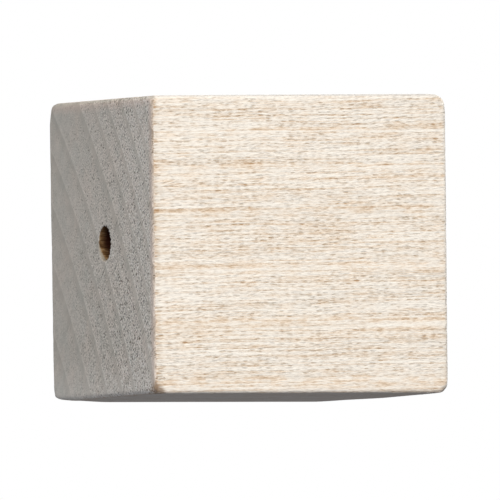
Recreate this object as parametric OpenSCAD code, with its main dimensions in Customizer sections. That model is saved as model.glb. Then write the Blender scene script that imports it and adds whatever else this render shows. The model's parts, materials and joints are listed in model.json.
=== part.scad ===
// Wooden cube: a block sawn from a planed strip of pale hardwood, with sanded
// edges and one screw hole drilled into its end grain.
//
// Millimetres, +Z up. The grain runs along X. The drilled end looks along -X
// and the front face along -Y, and the cube rests on its underside at Z = 0.
// The origin is at the middle of the underside.

/* [Block] */
// Length along the grain, from the drilled end to the far end
block_l = 31.3; // [26:0.1:60]
// Depth from the front face to the back face
block_d = 31.3; // [26:0.1:60]
// Height from the underside to the top face
block_h = 30; // [26:0.1:60]
// How far sanding takes each corner in towards the middle of the block
corner_ease = 0.45; // [0.2:0.05:1.5]

/* [Edges along the grain] */
// Radius of the front edge under the top face
front_top_r = 0.3; // [0.1:0.05:2]
// Radius of the front edge above the underside
front_foot_r = 0.35; // [0.1:0.05:2]
// Radius of the back edge under the top face
back_top_r = 1.5; // [0.1:0.05:2]
// Radius of the back edge above the underside
back_foot_r = 0.75; // [0.1:0.05:2]

/* [Edges round the drilled end] */
// Radius of the top edge of the drilled end
drilled_top_r = 0.45; // [0.1:0.05:2]
// Radius of the bottom edge of the drilled end
drilled_foot_r = 0.5; // [0.1:0.05:2]
// Radius of the upright edge between the drilled end and the front face
drilled_front_r = 0.4; // [0.1:0.05:2]
// Radius of the upright edge between the drilled end and the back face
drilled_back_r = 0.6; // [0.1:0.05:2]

/* [Edges round the far end] */
// Radius of the top edge of the far end
far_top_r = 1.2; // [0.1:0.05:2]
// Radius of the bottom edge of the far end
far_foot_r = 0.8; // [0.1:0.05:2]
// Radius of the upright edge between the far end and the front face
far_front_r = 0.35; // [0.1:0.05:2]
// Radius of the upright edge between the far end and the back face
far_back_r = 0.8; // [0.1:0.05:2]

/* [Screw hole] */
// Diameter of the hole, a pilot for a wood screw or a tight seat for a pin
hole_d = 3.5; // [2:0.1:8]
// Depth of the straight wall, from the drilled end to the drill point's cone
hole_depth = 18; // [6:0.5:20]
// Angle of the cone that the drill point leaves
drill_point = 118; // [90:1:135]
// How far the hole lies in front of the middle of the drilled end
hole_forward = 0.9; // [-3:0.1:3]
// How far the hole lies above the middle of the drilled end
hole_up = 0.5; // [-3:0.1:3]

/* [Hidden] */
$fn = 48;

// Clearance that carries a cut past the face it opens
past = 1;
// Height of the cone that the drill point leaves
point_h = hole_d / 2 / tan(drill_point / 2);

// A rectangle from the origin to size, with a radius for each of its corners,
// listed anticlockwise from the corner at the origin
module eased_rectangle(size, radii) {
    corners = [[0, 0], [size.x, 0], size, [0, size.y]];
    inwards = [[1, 1], [-1, 1], [-1, -1], [1, -1]];
    // Where each corner's arc runs into its two sides
    sides = [for (i = [0:3])
        let (along = [inwards[i].x * radii[i], 0], across = [0, inwards[i].y * radii[i]])
        each i % 2 == 0 ? [corners[i] + across, corners[i] + along]
                        : [corners[i] + along, corners[i] + across]];
    union() {
        polygon(sides);
        for (i = [0:3])
            translate(corners[i] + inwards[i] * radii[i])
                circle(r = radii[i]);
    }
}

// The four edges along the grain: an outline in Y and Z, drawn out along X
module strip() {
    translate([-block_l / 2, -block_d / 2, 0])
        rotate([90, 0, 90])
            linear_extrude(height = block_l)
                eased_rectangle([block_d, block_h],
                    [front_foot_r, back_foot_r, back_top_r, front_top_r]);
}

// The top and bottom edges of both ends: an outline in X and Z, drawn out along Y
module ends_over_and_under() {
    translate([-block_l / 2, block_d / 2, 0])
        rotate([90, 0, 0])
            linear_extrude(height = block_d)
                eased_rectangle([block_l, block_h],
                    [drilled_foot_r, far_foot_r, far_top_r, drilled_top_r]);
}

// The upright edges of both ends: an outline in X and Y, drawn out along Z
module ends_upright() {
    translate([-block_l / 2, -block_d / 2, 0])
        linear_extrude(height = block_h)
            eased_rectangle([block_l, block_d],
                [drilled_front_r, far_front_r, far_back_r, drilled_back_r]);
}

// The eight corners: a ball round the middle of the block, just short of them
module corners() {
    translate([0, 0, block_h / 2])
        sphere(r = norm([block_l, block_d, block_h]) / 2 - corner_ease);
}

// The sanded block is what the three outlines and the ball have in common
module sanded_block() {
    intersection() {
        strip();
        ends_over_and_under();
        ends_upright();
        corners();
    }
}

// The drilled hole, from outside the drilled end to the tip of its cone
module screw_hole() {
    translate([-block_l / 2, -hole_forward, block_h / 2 + hole_up])
        rotate([0, 90, 0]) {
            translate([0, 0, -past])
                cylinder(h = past + hole_depth, d = hole_d);
            translate([0, 0, hole_depth])
                cylinder(h = point_h, d1 = hole_d, d2 = 0);
        }
}

module wooden_cube() {
    color([0.91, 0.85, 0.77])
        difference() {
            sanded_block();
            screw_hole();
        }
}

wooden_cube();
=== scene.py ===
import bisect
import json
import math

import bpy
from mathutils import Euler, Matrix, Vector, noise


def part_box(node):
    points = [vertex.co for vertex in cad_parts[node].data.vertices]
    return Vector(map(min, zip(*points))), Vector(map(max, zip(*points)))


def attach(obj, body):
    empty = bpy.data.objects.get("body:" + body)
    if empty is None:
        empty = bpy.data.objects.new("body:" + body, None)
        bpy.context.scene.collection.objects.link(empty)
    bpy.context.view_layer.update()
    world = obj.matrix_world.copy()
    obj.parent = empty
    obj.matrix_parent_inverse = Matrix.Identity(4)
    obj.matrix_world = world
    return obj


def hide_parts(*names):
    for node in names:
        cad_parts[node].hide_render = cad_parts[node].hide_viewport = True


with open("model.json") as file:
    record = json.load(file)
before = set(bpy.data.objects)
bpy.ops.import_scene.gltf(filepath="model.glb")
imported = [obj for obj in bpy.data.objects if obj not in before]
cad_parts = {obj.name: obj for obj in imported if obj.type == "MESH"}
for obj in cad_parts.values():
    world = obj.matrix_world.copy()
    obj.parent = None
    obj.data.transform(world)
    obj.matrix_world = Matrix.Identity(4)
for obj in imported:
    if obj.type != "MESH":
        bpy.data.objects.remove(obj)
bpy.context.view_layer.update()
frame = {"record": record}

scene = bpy.context.scene
mm = 0.001

cubeLow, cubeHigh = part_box("wooden_cube")
cubeMiddle = (cubeLow + cubeHigh) / 2
cubeSize = (cubeHigh - cubeLow) / mm
half = cubeSize / 2
screwHole = next(m for m in frame["record"]["mounts"] if m["name"] == "screw_hole")


# sRGB hex to the linear colour that Blender's sockets hold
def linearColour(hexCode):
    channels = [int(hexCode[i:i + 2], 16) / 255 for i in (1, 3, 5)]
    return [c / 12.92 if c <= 0.04045 else ((c + 0.055) / 1.055) ** 2.4 for c in channels] + [1]


# adds one shader node; inputs come in order or by socket, as plain values, as sockets to link, or as
# whole nodes, which give their first output
def addNode(tree, kind, inputs=(), **settings):
    node = tree.nodes.new("ShaderNode" + kind)
    for name, value in settings.items():
        setattr(node, name, value)
    pairs = inputs.items() if isinstance(inputs, dict) else enumerate(inputs)
    for socket, value in pairs:
        if isinstance(value, bpy.types.Node):
            value = value.outputs[0]
        if isinstance(value, bpy.types.NodeSocket):
            tree.links.new(value, node.inputs[socket])
        else:
            node.inputs[socket].default_value = value
    return node


# a colour ramp from (position, colour) pairs; a number stands for a grey
def addRamp(tree, value, stops):
    node = addNode(tree, "ValToRGB", (value,))
    elements = node.color_ramp.elements
    while len(elements) < len(stops):
        elements.new(1)
    for element, (position, colour) in zip(elements, stops):
        element.position = position
        element.color = linearColour(colour) if isinstance(colour, str) else [colour] * 3 + [1]
    return node.outputs[0]


# one colour where the factor is 0, the other where it is 1
def mixColours(tree, factor, first, second):
    return addNode(tree, "Mix", {"Factor": factor, 6: first, 7: second}, data_type="RGBA").outputs[2]


# a new material with nothing in it yet
def emptyMaterial(name):
    material = bpy.data.materials.new(name)
    material.use_nodes = True
    material.node_tree.nodes.clear()
    return material


# the way from the cube towards a camera or a lamp that stands round it
def directionTo(azimuth, elevation):
    azimuth, elevation = math.radians(azimuth), math.radians(elevation)
    return Vector((math.sin(azimuth) * math.cos(elevation),
                   -math.cos(azimuth) * math.cos(elevation),
                   math.sin(elevation)))


# the camera looks at the front face from a touch below

cameraSetup = {
    "azimuth": -19.4,    # degrees round from the front face towards the drilled end
    "elevation": -1.56,  # a touch below level, so a sliver of the underside shows
    "roll": 0.72,        # degrees the cube leans to the left in the view
    "width": 50.08,      # mm across the view
    "distance": 600,     # mm from the middle of the cube
    "across": 0.13,      # mm the view's middle lies right of the cube's middle
    "up": -0.18,         # mm the view's middle lies above the cube's middle
    "clip": (10, 5000),  # mm to the nearest and the furthest thing it can see
}


def makeCamera():
    back = directionTo(cameraSetup["azimuth"], cameraSetup["elevation"])
    roll = Euler((0, 0, -math.radians(cameraSetup["roll"]))).to_quaternion()
    turn = back.to_track_quat("Z", "Y") @ roll
    aim = cubeMiddle + turn @ Vector((cameraSetup["across"], cameraSetup["up"], 0)) * mm
    camera = bpy.data.objects.new("productCamera", bpy.data.cameras.new("productCamera"))
    scene.collection.objects.link(camera)
    camera.data.type = "ORTHO"
    camera.data.ortho_scale = cameraSetup["width"] * mm
    camera.data.clip_start, camera.data.clip_end = (reach * mm for reach in cameraSetup["clip"])
    camera.rotation_mode = "QUATERNION"
    camera.rotation_quaternion = turn
    camera.location = aim + back * cameraSetup["distance"] * mm
    scene.camera = camera
    scene.view_settings.view_transform = "Standard"


makeCamera()
print("camera placed")


# every lamp is a softbox: where it stands round the cube in degrees, its distance and size in metres
softboxes = {
    "keySoftbox": {"azimuth": -14, "elevation": 24, "distance": 1.2, "size": 0.7, "watts": 13.6,
                   "colour": "#FFFFFF"},
    "overheadSoftbox": {"azimuth": 20, "elevation": 86, "distance": 1.0, "size": 0.4, "watts": 2.4,
                        "colour": "#FFF4EA"},
    "coolSoftbox": {"azimuth": -72, "elevation": 8, "distance": 0.6, "size": 0.3, "watts": 0.5,
                    "colour": "#E2EAFF"},
    "farSoftbox": {"azimuth": 125, "elevation": 15, "distance": 1.2, "size": 0.5, "watts": 9,
                   "colour": "#FFFFFF"},
}
studio = {
    "fillAbove": (0.19, 0.196, 0.205),    # linear light from the room's walls and ceiling
    "fillBelow": (0.178, 0.191, 0.222),   # light thrown back up, a little cooler
    "fillBlend": 0.4,            # how far above and below level the two fills run into each other
    "backdrop": 1.0,             # what the camera and reflections see behind the cube
    "floorColour": "#F1F1F0",
    "floorRoughness": 0.9,
    "floorReach": 900,           # mm from the middle to the floor's edge
    "floorGap": 0.05,            # mm below the cube, so the two planes never fight
}


def makeSoftbox(name, box):
    lamp = bpy.data.lights.new(name, "AREA")
    lamp.shape = "SQUARE"
    lamp.size = box["size"]
    lamp.energy = box["watts"]
    lamp.color = linearColour(box["colour"])[:3]
    back = directionTo(box["azimuth"], box["elevation"])
    holder = bpy.data.objects.new(name, lamp)
    scene.collection.objects.link(holder)
    holder.location = cubeMiddle + back * box["distance"]
    holder.rotation_euler = back.to_track_quat("Z", "Y").to_euler()
    holder.visible_camera = False


# the fill lights the cube; the camera, gloss and glass see a plain white backdrop instead
def makeWorld():
    world = bpy.data.worlds.new("paleStudio")
    scene.world = world
    world.use_nodes = True
    tree = world.node_tree
    tree.nodes.clear()
    path = addNode(tree, "LightPath").outputs
    seen = addNode(tree, "Math", (path["Is Camera Ray"], path["Is Glossy Ray"]), operation="MAXIMUM")
    seen = addNode(tree, "Math", (seen, path["Is Transmission Ray"]), operation="MAXIMUM")
    direction = addNode(tree, "TexCoord")
    height = addNode(tree, "SeparateXYZ", (direction.outputs["Generated"],))
    blend = studio["fillBlend"]
    rise = addNode(tree, "MapRange", (height.outputs[2], -blend, blend, 0, 1))
    tint = mixColours(tree, rise, (*studio["fillBelow"], 1), (*studio["fillAbove"], 1))
    fill = addNode(tree, "Background", {"Color": tint, "Strength": 1})
    backdrop = addNode(tree, "Background", {"Color": (1, 1, 1, 1), "Strength": studio["backdrop"]})
    mixed = addNode(tree, "MixShader", (seen, fill, backdrop))
    addNode(tree, "OutputWorld", {"Surface": mixed})


# a matt painted board: its fine roughness gives no highlight, only the cube's soft shadow; seen from
# under the table it clears, so the low camera looks past its edge
def paintedBoard():
    material = emptyMaterial("mattPaintedBoard")
    tree = material.node_tree
    paint = addNode(tree, "BsdfPrincipled", {"Base Color": linearColour(studio["floorColour"]),
                                             "Roughness": studio["floorRoughness"]})
    clear = addNode(tree, "BsdfTransparent")
    side = addNode(tree, "NewGeometry").outputs
    path = addNode(tree, "LightPath").outputs
    below = addNode(tree, "Math", (side["Backfacing"], path["Is Camera Ray"]), operation="MULTIPLY")
    mixed = addNode(tree, "MixShader", (below, paint, clear))
    addNode(tree, "OutputMaterial", {"Surface": mixed})
    return material


def makeFloor():
    reach = studio["floorReach"] * mm
    level = cubeLow.z - studio["floorGap"] * mm
    corners = [(x * reach, y * reach, level) for x, y in ((-1, -1), (1, -1), (1, 1), (-1, 1))]
    mesh = bpy.data.meshes.new("paleFloor")
    mesh.from_pydata(corners, [], [(0, 1, 2, 3)])
    mesh.materials.append(paintedBoard())
    floor = bpy.data.objects.new("paleFloor", mesh)
    scene.collection.objects.link(floor)
    floor.visible_diffuse = False   # the underside takes its light from the fill, as over a glass table
    floor.visible_shadow = False    # nor does the floor shade the cube


for name, box in softboxes.items():
    makeSoftbox(name, box)
makeWorld()
makeFloor()
print("studio lit")


# the growth rings in millimetres, shared by the carved surface and the wood's colour: the pith runs
# along X outside the block, and every year's ring is a cylinder round it
growth = {
    "pith": (77.5, -48.2),   # Y and Z of the tree's centre
    # how far from the pith each year's growth starts
    "years": [75.3, 79.3, 83.3, 88.2, 92.5, 96.5, 99.8, 105.5,
              108.4, 111.3, 114.5, 117.1, 119.3, 121.8, 124.2],
    "middle": 100,           # how far from the pith the block lies
    "slope": 1.0,            # degrees the grain climbs towards the far end
    "drift": 0.2,            # how far the rings wander on their way along the block
    "driftScale": (0.05, 0.01, 0.01),    # waves of that wander in a millimetre
}


# how far through its year's growth the wood is at a place: 0 in spring, 1 in autumn
def yearPhase(place):
    climb = (place.x + half.x) * math.tan(math.radians(growth["slope"]))
    radius = math.hypot(place.y - growth["pith"][0], place.z - climb - growth["pith"][1])
    years = growth["years"]
    i = min(max(bisect.bisect_right(years, radius), 1), len(years) - 1)
    return (radius - years[i - 1]) / (years[i] - years[i - 1])


# the radii of the sanded block's edges in millimetres; each edge by the two axes it lies across, and
# by the side it lies on along each
edgeRadii = {
    # along the grain
    ("y", "z"): {(-1, 1): 0.35, (-1, -1): 0.4, (1, 1): 1.5, (1, -1): 0.75},
    # over and under the ends
    ("x", "z"): {(-1, 1): 0.5, (-1, -1): 0.52, (1, 1): 1.2, (1, -1): 0.8},
    # upright
    ("x", "y"): {(-1, -1): 0.36, (1, -1): 0.4, (1, 1): 0.8, (-1, 1): 0.6},
}
# millimetres, except for the shares
blockSurface = {
    "alongStep": 0.42,      # between vertices along the grain
    "acrossStep": 0.23,     # between vertices across it
    "edgeSteps": (0, 0.07, 0.15, 0.25, 0.38, 0.55, 0.76, 1.02, 1.33, 1.7),   # closer rows beside an edge
    "cornerEase": 0.5,      # how far sanding takes each corner in
    "cornerBlend": 0.3,     # how softly the corner runs into its edges
    "edgeWander": 0.12,     # share by which an edge's radius varies along it
    "quickWander": 0.35,    # share of a second, quicker wander on top of it
    "turnWidth": 0.6,       # how far inside an edge the surface's direction starts to turn
    "ringRelief": 0.008,    # the seam between two years stands this much prouder on the end grain
    "ridgeWidth": 0.07,     # width of that ridge, as a share of the year's growth
    "fibreRelief": 0.012,   # raised grain on the long faces
    "unevenness": 0.03,     # hand sanding
    "nicks": 0.1,           # the deepest of the small dents along the edges
    "fineNicks": 0.4,       # share of the smaller dents among them
    "wearCurve": 1.3,       # above 1, wear is gathered close to its corner
}
# how many waves of each small form fit in a millimetre
wavesPerMm = {
    "wander": 0.2,
    "quickWander": 0.7,
    "unevenness": 0.11,
    "fibreAlong": 0.07,
    "fibreAcross": 1.6,
    "nicks": 1.1,
    "fineNicks": 2.3,
}
apart = Vector((3.1, 7.7, 1.3))   # keeps the edges' two wanders from rising together
# corners that took more knocks than the rest: how far the wear reaches and how deep it goes
wornCorners = {
    (-1, 1, 1): (2.2, 0.3),
    (1, -1, 1): (2.0, 0.18),
    (1, -1, -1): (2.0, 0.05),
    (-1, 1, -1): (1.6, 0.2),
}
# the underside was sanded away at its back corners: how far along X and along Y, and how deep
liftedCorners = {
    (-1, 1, -1): (5.6, 5.6, 0.34),
    (1, 1, -1): (3.5, 15, 0.2),
}
# the strip was sawn a hair out of true: how far each of these corners is moved
outOfTrue = {
    (-1, 1, -1): (0.11, 0, 0.045),
    (1, -1, -1): (-0.07, 0, 0),
    (-1, -1, 1): (0, 0, -0.08),
}
axes = "xyz"


# coordinates from one face to the other: close rows beside both edges, even rows between the marks
def gridLines(extent, step, marks=()):
    edge = blockSurface["edgeSteps"]
    start, stop = -extent + edge[-1], extent - edge[-1]
    stations = [start, *marks, stop]
    lines = [-extent + e for e in edge[:-1]]
    for low, high in zip(stations, stations[1:]):
        count = max(1, round((high - low) / step))
        lines += [low + (high - low) * i / count for i in range(count)]
    lines += [extent - e for e in reversed(edge)]
    return lines


# a smooth value between -1 and 1 that rises and falls through space
def waver(place, name):
    return noise.noise(place * wavesPerMm[name])


# pulls a point in onto the rounding where two faces meet
def easeEdge(place, first, second):
    a, b = axes.index(first), axes.index(second)
    signs = (1 if place[a] > 0 else -1, 1 if place[b] > 0 else -1)
    radius = edgeRadii[first, second][signs]
    wander = noise.noise(place * wavesPerMm["wander"] + apart)
    wander += blockSurface["quickWander"] * waver(place, "quickWander")
    radius *= 1 + blockSurface["edgeWander"] * wander
    overA = abs(place[a]) - (half[a] - radius)
    overB = abs(place[b]) - (half[b] - radius)
    if overA > 0 and overB > 0:
        reach = math.hypot(overA, overB)
        if reach > radius:
            place[a] = signs[0] * (half[a] - radius + overA * radius / reach)
            place[b] = signs[1] * (half[b] - radius + overB * radius / reach)


# rounds the corner off against a ball round the block's middle
def easeCorner(place):
    reach = place.length
    blend = blockSurface["cornerBlend"]
    over = reach - (half.length - blockSurface["cornerEase"])
    if over > -blend:
        pull = over if over > blend else (over + blend) ** 2 / (4 * blend)
        place *= (reach - pull) / reach


# the direction out of the surface, turning smoothly round the edges
def outward(place):
    width = blockSurface["turnWidth"]
    inner = Vector([min(max(place[i], -half[i] + width), half[i] - width) for i in range(3)])
    return (place - inner).normalized()


# how deep sanding, raised grain and the rings leave the surface below the true face
def reliefDepth(place, out):
    surface = blockSurface
    depth = surface["unevenness"] * (0.5 + 0.5 * waver(place, "unevenness"))
    endness = abs(out.x)
    # the seam between two years is hard and wears less, so it stands up in a low, soft ridge
    phase = yearPhase(place + Vector((0, 0, half.z)))
    ridge = math.exp(-(min(phase, 1 - phase) / surface["ridgeWidth"]) ** 2)
    depth += endness * surface["ringRelief"] * (1 - ridge)
    along, across = wavesPerMm["fibreAlong"], wavesPerMm["fibreAcross"]
    fibre = noise.noise(Vector((place.x * along, place.y * across, place.z * across)))
    depth += (1 - endness) * surface["fibreRelief"] * (0.5 + fibre)
    # 0 on a flat face and 1 in the middle of an edge's rounding
    edgeness = (1 - max(abs(share) for share in out)) / (1 - math.sqrt(0.5))
    dents = waver(place, "nicks") + surface["fineNicks"] * waver(place, "fineNicks")
    depth += surface["nicks"] * edgeness * max(0, dents)
    for signs, (reach, deepest) in wornCorners.items():
        away = (place - Vector(signs) * half).length
        if away < reach:
            depth += deepest * (1 - away / reach) ** surface["wearCurve"]
    return max(depth, 0)


# where a point of the plain block ends up once the block is sawn, sanded and worn
def sandedPlace(x, y, z):
    place = Vector((x, y, z))
    easeEdge(place, "y", "z")
    easeEdge(place, "x", "z")
    easeEdge(place, "x", "y")
    easeCorner(place)
    out = outward(place)
    shares = [place[i] / half[i] for i in range(3)]
    place -= out * reliefDepth(place, out)
    for signs, offset in outOfTrue.items():
        weight = math.prod((1 + sign * share) / 2 for sign, share in zip(signs, shares))
        place += Vector(offset) * weight
    for signs, (reachX, reachY, lift) in liftedCorners.items():
        gap = place - Vector(signs) * half
        away = math.hypot(gap.x / reachX, gap.y / reachY)
        if away < 1 and out.z < 0:
            place.z += lift * (1 - away) ** blockSurface["wearCurve"] * -out.z
    return place


# the mesh while it is gathered: its vertices in mm, and for each face its corners' numbers, their
# places on the flat map and which of the two materials it has
skin = {"vertices": [], "faces": [], "maps": [], "finishes": []}
gridNumbers = {}
tile = max(cubeSize) + 1   # the map lays the six faces out in three columns and two rows, in millimetres
wood, bore = 0, 1   # the numbers of the two materials


def addVertex(place):
    skin["vertices"].append(place)
    return len(skin["vertices"]) - 1


# faces that meet at a point of the grid share its vertex
def gridVertex(x, y, z):
    key = (round(x, 4), round(y, 4), round(z, 4))
    if key not in gridNumbers:
        gridNumbers[key] = addVertex(sandedPlace(x, y, z))
    return gridNumbers[key]


def addFace(corners, flat, finish):
    skin["faces"].append(corners)
    skin["maps"].append(flat)
    skin["finishes"].append(finish)


# one flat side of the block; put turns a place on the side into a place on the block
def addSide(column, row, linesA, linesB, put, flip, skip=None):
    for a0, a1 in zip(linesA, linesA[1:]):
        for b0, b1 in zip(linesB, linesB[1:]):
            if skip and skip((a0 + a1) / 2, (b0 + b1) / 2):
                continue
            square = [(a0, b0), (a1, b0), (a1, b1), (a0, b1)]
            if flip:
                square.reverse()
            flat = [((column + 0.5) * tile + a, (row + 0.5) * tile + b) for a, b in square]
            addFace([gridVertex(*put(a, b)) for a, b in square], flat, wood)


# joins two rings of vertices with a row of faces; flatten gives each face its place on the map
def addRow(before, after, finish, flatten):
    count = len(before)
    for i in range(count):
        j = (i + 1) % count
        addFace([before[i], after[i], after[j], before[j]], flatten(i, j), finish)


# the drilled hole, in millimetres except for the counts and shares
holeShape = {
    "patch": 3.0,        # half the square of face that turns into the round mouth
    "patchSteps": (0.22, 0.42, 0.6, 0.76, 0.89, 1.0),   # from the square (0) to the circle (1)
    "drillPoint": 118,   # degrees across the drill's tip
    # rings of vertices down the wall, closer where the wall is ragged
    "depths": (0.12, 0.26, 0.44, 0.66, 0.95, 1.3, 1.75, 2.4, 3.3, 4.6, 6.4, 9, 12, 15),
    "lip": 0.03,         # width of the broken rim at the face
    "lipDepth": 0.2,     # how deep it goes
    "lipFoot": 0.25,     # share of its width that is left below the face
    "rag": 0.1,          # how ragged the rim is
    "ragFade": 0.7,      # how deep it stays so
    "wallRelief": 0.035,    # how ragged the wall is all the way in
    "broad": {"round": 5, "down": 0.8, "share": 0.6},    # waves of the rag, round and down the bore
    "fine": {"round": 24, "down": 2.5, "share": 1},
    "teeth": 27,         # fibres torn out in small teeth on the side where the drill ran against the grain
    "toothWander": 3,    # waves by which the teeth come closer and further apart
    "toothDepth": 0.4,   # how far a tooth is torn out
    "toothFade": 0.3,    # how deep the teeth go
    "toothInside": 0.3,  # share of a tooth that stands into the hole
}
holeCentre = Vector(screwHole["pos_m"]) / mm
holeRadius = screwHole["dims"]["r_mm"]
holeDepth = screwHole["dims"]["length_mm"]
holeY, holeZ = holeCentre.y, holeCentre.z - half.z


def inPatch(y, z):
    return abs(y - holeY) < holeShape["patch"] and abs(z - holeZ) < holeShape["patch"]


# a place on a circle round the hole's axis
def roundHole(angle, radius):
    return holeY + radius * math.cos(angle), holeZ + radius * math.sin(angle)


# the rim is torn a little further where the drill lifted the fibres
def rimRadius(angle, depth):
    around = Vector((math.cos(angle), math.sin(angle), 0))
    rag = 0
    for waves in (holeShape["broad"], holeShape["fine"]):
        down = Vector((0, 0, depth * waves["down"]))
        rag += waves["share"] * noise.noise(around * waves["round"] + down)
    strength = holeShape["rag"] * math.exp(-depth / holeShape["ragFade"]) + holeShape["wallRelief"]
    uneven = noise.noise(around * holeShape["toothWander"])
    tooth = (angle / math.tau * holeShape["teeth"] + uneven) % 1
    torn = holeShape["toothDepth"] * max(0, -math.cos(angle)) * math.exp(-depth / holeShape["toothFade"])
    return holeRadius + strength * rag + torn * (tooth - holeShape["toothInside"])


# the square round the mouth, walked once from its lower front corner
def squareRound(linesY, linesZ):
    reach = holeShape["patch"] + 1e-6   # takes the square's own lines in
    insideY = [y for y in linesY if abs(y - holeY) < reach]
    insideZ = [z for z in linesZ if abs(z - holeZ) < reach]
    square = [(y, insideZ[0]) for y in insideY[:-1]]
    square += [(insideY[-1], z) for z in insideZ[:-1]]
    square += [(y, insideZ[-1]) for y in reversed(insideY[1:])]
    square += [(insideY[0], z) for z in reversed(insideZ[1:])]
    return square


# the square of face turns into the round mouth, ring by ring; gives the last ring's vertices
def addMouth(square, angles):
    before = [gridVertex(-half.x, y, z) for y, z in square]
    flatBefore = square
    mouth = [roundHole(angle, rimRadius(angle, 0) + holeShape["lip"]) for angle in angles]
    for share in holeShape["patchSteps"]:
        flatAfter = [(y + (roundY - y) * share, z + (roundZ - z) * share)
                     for (y, z), (roundY, roundZ) in zip(square, mouth)]
        after = [addVertex(sandedPlace(-half.x, y, z)) for y, z in flatAfter]

        def flatten(i, j):
            places = (flatBefore[i], flatAfter[i], flatAfter[j], flatBefore[j])
            return [(0.5 * tile + y, 0.5 * tile + z) for y, z in places]

        addRow(before, after, wood, flatten)
        before, flatBefore = after, flatAfter
    return before


# down the bore: the lip, the wall and the drill's cone
def addBore(before, angles):
    mapLeft, mapTop = 0.5, 2 * tile + 0.5   # where the unrolled wall starts on the map
    depthBefore = 0
    for depth in [*holeShape["depths"], holeDepth]:
        lip = holeShape["lip"] * holeShape["lipFoot"] if depth < holeShape["lipDepth"] else 0
        places = [roundHole(angle, rimRadius(angle, depth) + lip) for angle in angles]
        after = [addVertex(Vector((-half.x + depth, y, z))) for y, z in places]

        def flatten(i, j):
            left, right = (mapLeft + step * math.tau * holeRadius / len(angles) for step in (i, i + 1))
            near, far = mapTop + depthBefore, mapTop + depth
            return [(left, near), (left, far), (right, far), (right, near)]

        addRow(before, after, bore, flatten)
        before, depthBefore = after, depth
    tipDepth = holeDepth + holeRadius / math.tan(math.radians(holeShape["drillPoint"] / 2))
    tip = addVertex(Vector((-half.x + tipDepth, holeY, holeZ)))
    coneX, coneY = tile + 4, 2 * tile + 4   # where the cone's middle lies on the map
    rim = [(coneX + holeRadius * math.cos(a), coneY + holeRadius * math.sin(a)) for a in angles]
    for i in range(len(angles)):
        j = (i + 1) % len(angles)
        addFace([before[i], tip, before[j]], [rim[i], (coneX, coneY), rim[j]], bore)


# the whole block as one mesh: six sides, the mouth of the hole and its bore
def makeBlock():
    patch = holeShape["patch"]
    linesX = gridLines(half.x, blockSurface["alongStep"])
    linesY = gridLines(half.y, blockSurface["acrossStep"], (holeY - patch, holeY + patch))
    linesZ = gridLines(half.z, blockSurface["acrossStep"], (holeZ - patch, holeZ + patch))
    addSide(0, 0, linesY, linesZ, lambda y, z: (-half.x, y, z), True, inPatch)
    addSide(1, 0, linesX, linesZ, lambda x, z: (x, -half.y, z), False)
    addSide(2, 0, linesY, linesZ, lambda y, z: (half.x, y, z), False)
    addSide(0, 1, linesX, linesZ, lambda x, z: (x, half.y, z), True)
    addSide(1, 1, linesX, linesY, lambda x, y: (x, y, half.z), False)
    addSide(2, 1, linesX, linesY, lambda x, y: (x, y, -half.z), True)
    square = squareRound(linesY, linesZ)
    angles = [math.atan2(z - holeZ, y - holeY) for y, z in square]
    mouth = addMouth(square, angles)
    addBore(mouth, angles)

    mesh = bpy.data.meshes.new("woodenCubeBlock")
    mesh.from_pydata([cubeMiddle + v * mm for v in skin["vertices"]], [], skin["faces"])
    layer = mesh.uv_layers.new(name="OFBake")
    sheet = 3 * tile
    for polygon, flat in zip(mesh.polygons, skin["maps"]):
        for loop, (u, v) in zip(polygon.loop_indices, flat):
            layer.data[loop].uv = (u / sheet, v / sheet)
    mesh.polygons.foreach_set("material_index", skin["finishes"])
    mesh.polygons.foreach_set("use_smooth", [True] * len(skin["faces"]))
    mesh.update()
    mesh.validate()
    block = bpy.data.objects.new("woodenCubeBlock", mesh)
    scene.collection.objects.link(block)
    return block


soft, even = "SMOOTHSTEP", "LINEAR"   # how a mark fades

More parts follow.
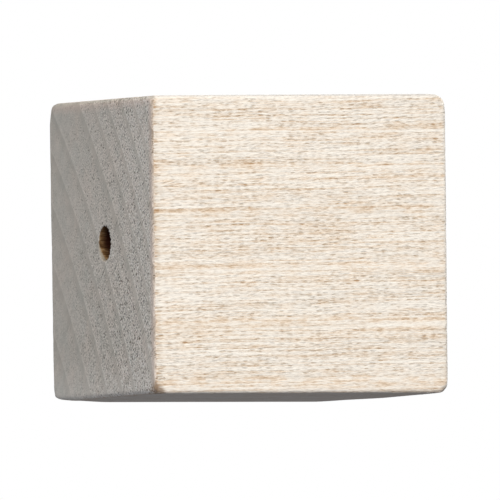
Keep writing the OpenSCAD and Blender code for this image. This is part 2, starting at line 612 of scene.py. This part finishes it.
# hard maple, planed and sanded: tones run from a dark dash (0) to a light streak (1), and lengths
# are in millimetres
maple = {
    # side grain, in wood with little sap colour and in wood with more
    "sideCool": [(0.0, "#AC9781"), (0.22, "#CCBFAC"), (0.5, "#EAE1D4"), (0.7, "#FAF0E1"),
                 (1.0, "#FFF8EA")],
    "sideWarm": [(0.0, "#B78F67"), (0.22, "#D5BCA0"), (0.5, "#F3E0C9"), (0.7, "#FDEFDC"),
                 (1.0, "#FFF7E9")],
    # end grain drinks the light, so it is greyer and darker
    "endCool": [(0.0, "#403B32"), (0.25, "#928B7C"), (0.5, "#D1CCBF"), (0.75, "#F1EDE1"),
                (1.0, "#FCFBF4")],
    "endWarm": [(0.0, "#4B3A2D"), (0.25, "#9C8975"), (0.5, "#DDCCBB"), (0.75, "#FCEBDB"),
                (1.0, "#FFF9EE")],
    "rubbed": "#C6C5C2",     # painted shade: a grey line on the arris under the top face
    "rubbedShare": 0.9,      # how far that grey covers the wood
    # painted shade at the two bottom front corners: which corner it lies at, how far it reaches and its
    # colour
    "smudges": [((-1, -1, -1), 1.4, "#80603E"), ((1, -1, -1), 1.1, "#76726C")],
    # how ragged its edges are, the share of the reach where it is full, and how strong that is
    "smudge": {"ragged": 2, "core": 0.5, "strength": 0.75},

    # long thin cells that show as dashes on the sides and as dots on the ends; real vessels are about
    # 0.1 mm wide and are drawn up to twice that, so that they show
    "cells": {
        "vessel": {"along": 1.9, "around": 0.28, "outward": 0.36, "radius": 0.32, "rarity": 1.6,
                   "scatter": 1},
        "dash": {"along": 0.8, "around": 0.2, "outward": 0.2, "radius": 0.43, "rarity": 0.6,
                 "scatter": 0.68},
    },
    "cellSizes": (0.65, 1.25),    # the smallest and the largest cell, beside the usual one
    "cellEdge": (1.15, 0.65),     # a cell's mark starts and is full at these shares of its radius
    # soft patterns, from the finest fibres to the slow changes of colour
    "clouds": {
        "fibre": {"along": 0.58, "around": 0.12, "outward": 0.12},
        "grit": {"along": 0.8, "around": 0.17, "outward": 0.17},
        "streak": {"along": 30, "around": 0.2, "outward": 0.2},
        "cloud": {"along": 80, "around": 3.2, "outward": 3.2},
        "thread": {"along": 7, "around": 0.17, "outward": 0.17},
        "mottle": {"along": 3, "around": 1.3, "outward": 1.3},
        "ray": {"along": 0.8, "around": 0.13, "outward": 4},
        "blush": {"along": 2.0, "around": 0.6, "outward": 0.6},
    },
    "rayEdge": (0.36, 0.6),       # how high the ray pattern stands where a ray starts and is full

    # spring wood opens with a pale line, autumn wood closes with a darker band
    "seasonTones": [(0, 1), (0.04, 0.95), (0.12, 0.6), (0.3, 0.65), (0.62, 0.52), (0.78, 0.25),
                    (0.9, 0.12), (0.985, 0.12), (1, 1)],
    # sap colour through the year: pale in spring, a faint second line in summer, brown at the close
    "yearWarmths": [(0, 0.1), (0.05, 0), (0.5, 0), (0.62, 0.06), (0.67, 0.18), (0.73, 0.08),
                    (0.88, 0.1), (0.96, 0.2), (1, 0.1)],
    "autumn": (0.88, 0.97),       # the last of the year's wood, as shares of its growth
    "autumnGaps": (-0.15, 0.15, 0.3),   # that line fades to 0.3 where the blush pattern is low
    "autumnDashes": 2,            # what the line adds to the strength of its dashes
    "dense": (0.76, 0.87, 0.12),  # from here to here the vessels close up, down to this share

    # bands along the block's edges: full up to one distance, gone at the other
    "bands": {
        "burnished": (0, 1.0, soft),      # the sides darker and warmer beside the drilled end
        "rim": (0.4, 1.5, soft),          # painted glow: light bled through the wood inside the end's front and top edges
        "frontEdge": (0.12, 0.42, soft),  # painted shade on the end's front edge
        "worn": (0.5, 1.3, soft),         # beside it, where the end's marks are rubbed out
        "farArris": (0.15, 0.5, soft),    # beside the far end
        "topArris": (0.15, 0.6, soft),    # painted shade under the top face
        "pale": (0.1, 0.9, soft),         # painted highlight: a pale line under the front's top edge
        "length": (0, cubeSize.x, even),  # the sides darken a touch towards the far end
        "front": (0, 10, even),           # the end is paler towards the front
        "foot": (0, 4, even),             # and towards its foot
        "crispFront": (0.25, 0.9, even),  # the end's front edge is crisper here
        "crispTop": (5, 9, even),         # and down to here
        "underTop": (0.08, 0.32, even),   # the painted grey shade on the arris, down from the top face
        "topFace": (0.02, 0.05, even),    # the top face itself stays clear of it
        "nearFront": (0.1, 0.5, even),    # and it keeps close to the front and the drilled end
    },
    # the saw left the end's far side smoother: the texture's strength at the front and at the back,
    # and where the change starts and ends, as shares of half the block's depth
    "texture": {"front": 1.05, "back": 0.16, "from": -0.6, "to": 0.75},
    # how much of the rings' contrast is left without any texture, and how much full texture adds
    "ringContrast": {"least": 0.45, "textured": 0.9},
    "wornMarks": -0.7,            # what the worn band takes from the end's marks

    # what every mark adds to the tone, to the sap colour and to the height of the grain
    "sideTone": {"vessel": -0.095, "dash": -0.25, "fibre": 0.3, "streak": 0.245, "cloud": 0.01,
                 "thread": 0.13, "blush": -0.065, "length": 0.034, "autumn": -0.13,
                 # painted highlight: paler under the front's top edge
                 "burnished": -0.25, "pale": 0.08, "farArris": 0.06},
    "endMarks": {"vessel": -0.55, "dash": -0.12, "grit": 0.5, "cloud": 0.03},
    "endTone": {"closed": -0.03, "ring": 0.13, "rays": -0.2, "mottle": 0.035, "texture": 0.12,
                # painted glow: a touch paler inside the end's front and top edges
                # painted shade darkens the end along its front edge
                "front": 0.07, "foot": 0.09, "rim": 0.04, "frontEdge": -0.14, "worn": -0.09,
                # painted shade darkens the end under the top face
                "crisp": -0.085, "topArris": -0.13},
    "sideWarmth": {"blush": 0.48, "cloud": 0.12, "yearWarmth": 1, "streak": -0.45, "thread": -0.45,
                   # painted highlight: less warm under the front's top edge
                   # painted shade takes the warmth out of the sides' top edge beside the drilled end
                   "topCorner": -0.6, "autumn": 0.44, "burnished": 0.1, "pale": -0.35,
                   "farArris": -0.7},
    # painted glow: warmer inside the end's front and top edges
    # painted shade takes the warmth out of the end under the top face
    "endWarmth": {"cloud": 0.2, "mottle": 0.1, "texture": 0.13, "rim": 0.7, "topArris": -0.85},
    "height": {"vessel": -0.38, "dash": -0.52, "fibre": 0.3, "grit": 0.25, "season": 0.12},
    "base": {"sideTone": 0.546, "endTone": 0.458, "sideWarmth": 0.36, "endWarmth": 0.24,
             "height": 0.5},

    # the turn towards an end, 1 being square on, where its cut fibres start to show and where they
    # are all that shows
    "drilledTurn": (0.35, 0.75),
    "farTurn": (0.75, 0.99),
    "sideRoughness": 0.75,
    "endRoughness": 0.85,
    "gloss": 0.2,                 # bare wood mirrors less than its IOR would give
    "bumpStrength": 0.6,
    "bumpHeight": 0.1,            # mm
}


# two short names for the sums in a material: any Math node, and a Map Range
def sums(tree):
    def calculate(operation, *values):
        return addNode(tree, "Math", values, operation=operation).outputs[0]

    def between(value, low, high, start, stop, curve=even):
        inputs = (value, low, high, start, stop)
        return addNode(tree, "MapRange", inputs, interpolation_type=curve).outputs[0]

    return calculate, between


# places as the tree grew: along the grain, around the pith and outward from it, in millimetres
def treePlaces(tree, places):
    calculate, _ = sums(tree)
    slope = math.radians(growth["slope"])
    turned = addNode(tree, "Mapping", {"Vector": places, "Rotation": (0, slope, 0),
                                       "Location": (0, 0, -half.x * math.sin(slope))})
    # a real tree's rings wander slowly on their way up
    slow = addNode(tree, "VectorMath", (turned, growth["driftScale"]), operation="MULTIPLY")
    wander = addNode(tree, "TexNoise", {"Vector": slow, "Scale": 1, "Detail": 2}, normalize=False)
    drift = (0, growth["drift"], growth["drift"])
    grain = addNode(tree, "VectorMath", (wander.outputs["Color"], drift, turned),
                    operation="MULTIPLY_ADD")
    axis = addNode(tree, "SeparateXYZ", (grain,)).outputs
    sideways = calculate("SUBTRACT", growth["pith"][0], axis[1])
    upwards = calculate("SUBTRACT", axis[2], growth["pith"][1])
    around = calculate("MULTIPLY", calculate("ARCTAN2", upwards, sideways), growth["middle"])
    cross = addNode(tree, "CombineXYZ", {1: sideways, 2: upwards})
    outward = addNode(tree, "VectorMath", (cross,), operation="LENGTH").outputs["Value"]
    polar = addNode(tree, "CombineXYZ", (axis[0], around, outward))
    return polar, outward


# the seasons of the year that each place grew in
def yearMarks(tree, outward):
    calculate, between = sums(tree)
    years = growth["years"]
    count = addNode(tree, "FloatCurve", {"Value": between(outward, years[0], years[-1], 0, 1)})
    points = count.mapping.curves[0].points
    for i, year in enumerate(years[1:-1], 1):
        points.new((year - years[0]) / (years[-1] - years[0]), i / (len(years) - 1))
    for point in points:
        point.handle_type = "VECTOR"
    count.mapping.update()
    phase = calculate("FRACT", calculate("MULTIPLY", count.outputs[0], len(years) - 1))
    start, stop, closed = maple["dense"]
    return {
        "season": addRamp(tree, phase, maple["seasonTones"]),
        "yearWarmth": addRamp(tree, phase, maple["yearWarmths"]),
        "autumn": between(phase, *maple["autumn"], 0, 1, soft),
        "openness": between(phase, start, stop, 1, closed),
    }


# long thin cells, each with its own size and its own strength
def cellMarks(tree, places, cell):
    calculate, between = sums(tree)
    cells = addNode(tree, "TexVoronoi", {"Vector": places, "Scale": 1, "Randomness": cell["scatter"]})
    each = addNode(tree, "SeparateColor", (cells.outputs["Color"],)).outputs
    size = between(each[2], 0, 1, *maple["cellSizes"])
    distance = calculate("DIVIDE", cells.outputs["Distance"], size)
    start, full = (cell["radius"] * share for share in maple["cellEdge"])
    mark = between(distance, start, full, 0, 1, soft)
    return calculate("MULTIPLY", mark, calculate("POWER", each[0], cell["rarity"]))


# every pattern that runs with the grain; autumn wood is dense, with hardly a vessel in it
def grainMarks(tree, polar, year):
    calculate, between = sums(tree)

    def stretched(pattern):
        scale = (1 / pattern["along"], 1 / pattern["around"], 1 / pattern["outward"])
        return addNode(tree, "VectorMath", (polar, scale), operation="MULTIPLY")

    marks = dict(year)
    for name, pattern in maple["cells"].items():
        marks[name] = calculate("MULTIPLY", cellMarks(tree, stretched(pattern), pattern), year["openness"])
    for name, pattern in maple["clouds"].items():
        inputs = {"Vector": stretched(pattern), "Scale": 1, "Detail": 2, "Roughness": 0.6}
        marks[name] = addNode(tree, "TexNoise", inputs, normalize=False).outputs[0]
    marks["rays"] = between(marks["ray"], *maple["rayEdge"], 0, 1)
    marks["grit"] = calculate("MULTIPLY", marks["grit"], year["openness"])
    # on the sides the autumn wood is a line of closer dashes that fades in and out along the grain
    low, high, least = maple["autumnGaps"]
    marks["autumn"] = calculate("MULTIPLY", year["autumn"], between(marks["blush"], low, high, least, 1))
    closer = calculate("MULTIPLY_ADD", marks["autumn"], maple["autumnDashes"], 1)
    marks["dash"] = calculate("MULTIPLY", marks["dash"], closer)
    return marks


# bands along the block's edges, from how near a place lies to the planes that bound it
def edgeMarks(tree, places):
    calculate, between = sums(tree)
    spot = addNode(tree, "SeparateXYZ", (places,)).outputs
    fromEnd = calculate("ADD", spot[0], half.x)
    fromFront = calculate("ADD", spot[1], half.y)
    fromTop = calculate("SUBTRACT", cubeSize.z, spot[2])
    distances = {
        "burnished": fromEnd,
        "rim": calculate("MINIMUM", fromFront, fromTop),
        "frontEdge": fromFront,
        "worn": fromFront,
        "farArris": calculate("SUBTRACT", half.x, spot[0]),
        "topArris": fromTop,
        "pale": calculate("ADD", fromFront, fromTop),
        "length": fromEnd,
        "front": fromFront,
        "foot": spot[2],
        "crispFront": fromFront,
        "crispTop": fromTop,
        "underTop": fromTop,
        "topFace": fromTop,
        "nearFront": calculate("MINIMUM", fromFront, fromEnd),
    }
    marks = {}
    for name, distance in distances.items():
        near, far, curve = maple["bands"][name]
        marks[name] = between(distance, near, far, 1, 0, curve)
    # towards the top the end's front edge is crisper, so less light catches it
    marks["crisp"] = calculate("MULTIPLY", marks["crispTop"], marks["crispFront"])
    # painted shade: the sides under the top face, beside the drilled end, lose their warmth
    marks["topCorner"] = calculate("MULTIPLY", marks["topArris"], marks["burnished"])
    # painted shade: a grey line just under the top face, near the front and the drilled end
    rubbed = calculate("MULTIPLY", marks["underTop"], calculate("SUBTRACT", 1, marks["topFace"]))
    rubbed = calculate("MULTIPLY", rubbed, marks["nearFront"])
    marks["rubbed"] = calculate("MULTIPLY", rubbed, maple["rubbedShare"])
    texture = maple["texture"]
    marks["texture"] = between(spot[1], half.y * texture["from"], half.y * texture["to"],
                               texture["front"], texture["back"])
    return marks


# 0 on the sides and 1 on the ends; the turn between them follows the rounded edges
def endShare(tree, normal):
    calculate, between = sums(tree)
    facing = addNode(tree, "SeparateXYZ", (normal,)).outputs[0]
    start, full = maple["drilledTurn"]
    drilledEnd = between(facing, -start, -full, 0, 1, soft)
    farEnd = between(facing, *maple["farTurn"], 0, 1, soft)
    return calculate("MAXIMUM", drilledEnd, farEnd)


# adds the marks up to one tone, sap colour or height, with the weights of that name
def addUp(tree, marks, name, start=None):
    calculate, _ = sums(tree)
    total = maple["base"][name] if start is None else start
    for mark, weight in maple[name].items():
        total = calculate("MULTIPLY_ADD", marks[mark], weight, total)
    return total


# the end's marks fade where it is worn or sawn smooth, and its rings fade less than they do
def endTone(tree, marks):
    calculate, _ = sums(tree)
    texture, contrast = marks["texture"], maple["ringContrast"]
    worn = calculate("MULTIPLY_ADD", marks["worn"], maple["wornMarks"], 1)
    fading = calculate("MULTIPLY", texture, worn)
    start = calculate("MULTIPLY_ADD", addUp(tree, marks, "endMarks", 0), fading, maple["base"]["endTone"])
    closed = calculate("MULTIPLY", calculate("SUBTRACT", 1, marks["openness"]), texture)
    fade = calculate("MULTIPLY_ADD", texture, contrast["textured"], contrast["least"])
    ring = calculate("MULTIPLY", calculate("SUBTRACT", marks["season"], 0.5), fade)
    rays = calculate("MULTIPLY", marks["rays"], texture)
    return addUp(tree, {**marks, "closed": closed, "ring": ring, "rays": rays}, "endTone", start)


# the tone picks a colour in the cool wood and one in the warm wood, and the sap mixes the two
def woodColour(tree, face, tone, warmth):
    cool = addRamp(tree, tone, maple[face + "Cool"])
    warm = addRamp(tree, tone, maple[face + "Warm"])
    return mixColours(tree, warmth, cool, warm)


# ragged painted shade at the block's two bottom front corners, brown at the drilled end and grey at the
# far end
def addCornerShades(tree, places, marks, colour):
    calculate, between = sums(tree)
    shape = maple["smudge"]
    for signs, reach, shade in maple["smudges"]:
        corner = Vector(signs) * half + Vector((0, 0, half.z))
        away = addNode(tree, "VectorMath", (places, corner), operation="DISTANCE").outputs["Value"]
        ragged = calculate("MULTIPLY_ADD", marks["grit"], shape["ragged"], away)
        smudge = between(ragged, reach, reach * shape["core"], 0, shape["strength"], soft)
        colour = mixColours(tree, smudge, colour, linearColour(shade))
    return colour


# planing and fine paper leave the sides matt with a faint silky sheen; the sawn ends are duller,
# because cut fibre ends scatter the light and drink it in
def mapleMaterial():
    material = emptyMaterial("hardMaplePlanedSanded")
    tree = material.node_tree
    calculate, between = sums(tree)
    place = addNode(tree, "TexCoord").outputs
    inMm = addNode(tree, "VectorMath", {0: place["Object"], "Scale": 1 / mm}, operation="SCALE")
    polar, outward = treePlaces(tree, inMm)
    marks = {**grainMarks(tree, polar, yearMarks(tree, outward)), **edgeMarks(tree, inMm)}

    sideColour = woodColour(tree, "side", addUp(tree, marks, "sideTone"), addUp(tree, marks, "sideWarmth"))
    # the painted grey shade under the top edge covers the side grain
    sideColour = mixColours(tree, marks["rubbed"], sideColour, linearColour(maple["rubbed"]))
    endColour = woodColour(tree, "end", endTone(tree, marks), addUp(tree, marks, "endWarmth"))
    endness = endShare(tree, place["Normal"])
    colour = mixColours(tree, endness, sideColour, endColour)
    # painted shade at the bottom front corners
    colour = addCornerShades(tree, inMm, marks, colour)

    height = calculate("MULTIPLY", addUp(tree, marks, "height"), marks["texture"])
    bump = addNode(tree, "Bump", {"Height": height, "Strength": maple["bumpStrength"],
                                  "Distance": maple["bumpHeight"] * mm})
    roughness = between(endness, 0, 1, maple["sideRoughness"], maple["endRoughness"])
    shader = addNode(tree, "BsdfPrincipled", {"Base Color": colour,
                                              "Roughness": roughness,
                                              "IOR": 1.5,
                                              "Specular IOR Level": maple["gloss"],
                                              "Normal": bump})
    addNode(tree, "OutputMaterial", {"Surface": shader})
    return material


# the drilled bore's crushed fibres, with painted shade deeper in
boreLook = {
    # from the darkest fibre to the palest, where the light falls in
    "colours": [(0.0, "#3C240F"), (0.35, "#715331"), (0.7, "#9C784E"), (1.0, "#D0B58C")],
    # painted shade: the colour the wall turns to deeper in the bore
    "scorched": "#34150A",
    "lip": "#A79C8A",        # the sanded rim
    "lipStart": -0.02,       # mm from the face, where the rim starts to fade
    "lipDepth": 0.2,         # mm further in to where it is gone
    "fibres": {"along": 0.9, "across": 0.16},     # mm
    "fibreContrast": (0.3, 0.7),    # the noise between these values fills the range of colours
    # share of the pale colour that is left at each depth, in mm from the mouth; the rest is painted shade
    "kept": [(-0.4, 1.0), (0.0, 0.75), (0.35, 0.5), (0.65, 0.2), (0.9, 0.0)],
    "lean": 0.95,            # mm further in that the pale wood reaches at the bottom of the bore
    "lipLean": 0.38,         # mm further in that the sanded rim reaches there
    "roughness": 0.8,
    "gloss": 0.1,
    "bumpStrength": 0.6,
    "bumpHeight": 0.2,       # mm
}


# a drill leaves torn and crushed fibres, very matt; painted shade darkens the bore soon after its pale lip
def boreMaterial():
    material = emptyMaterial("hardMapleDrilledBore")
    tree = material.node_tree
    calculate, between = sums(tree)
    place = addNode(tree, "TexCoord").outputs["Object"]
    along, across = (1 / boreLook["fibres"][way] / mm for way in ("along", "across"))
    drawn = addNode(tree, "VectorMath", (place, (along, across, across)), operation="MULTIPLY")
    fibres = addNode(tree, "TexNoise", {"Vector": drawn, "Scale": 1, "Detail": 3})
    spread = between(fibres.outputs[0], *boreLook["fibreContrast"], 0, 1)
    colour = addRamp(tree, spread, boreLook["colours"])

    # the bottom of the bore faces the light, so the pale wood and the rim reach further in there
    axis = addNode(tree, "SeparateXYZ", (place,)).outputs
    lowest, level = (holeCentre.z - holeRadius) * mm, holeCentre.z * mm
    lean = between(axis[2], lowest, level, -boreLook["lean"], 0)
    depth = calculate("MULTIPLY_ADD", axis[0], 1 / mm, lean)
    first, last = boreLook["kept"][0][0], boreLook["kept"][-1][0]
    share = between(depth, first - half.x, last - half.x, 0, 1)
    stops = [((stop - first) / (last - first), kept) for stop, kept in boreLook["kept"]]
    # painted shade: deeper in, the wall turns from its fibre colours to the shade colour
    wall = mixColours(tree, addRamp(tree, share, stops), linearColour(boreLook["scorched"]), colour)

    lipLean = calculate("MULTIPLY", lean, boreLook["lipLean"] / boreLook["lean"])
    lipDepth = calculate("MULTIPLY_ADD", axis[0], 1 / mm, lipLean)
    lipStart = -half.x + boreLook["lipStart"]
    lip = between(lipDepth, lipStart, lipStart + boreLook["lipDepth"], 1, 0, soft)
    wall = mixColours(tree, lip, wall, linearColour(boreLook["lip"]))

    bump = addNode(tree, "Bump", {"Height": fibres, "Strength": boreLook["bumpStrength"],
                                  "Distance": boreLook["bumpHeight"] * mm})
    shader = addNode(tree, "BsdfPrincipled", {"Base Color": wall,
                                              "Roughness": boreLook["roughness"],
                                              "Specular IOR Level": boreLook["gloss"],
                                              "Normal": bump})
    addNode(tree, "OutputMaterial", {"Surface": shader})
    return material


block = makeBlock()
print("block built:", len(block.data.polygons), "faces")
block.data.materials.append(mapleMaterial())
block.data.materials.append(boreMaterial())
print("maple finished")

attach(block, "root")
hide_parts("wooden_cube")
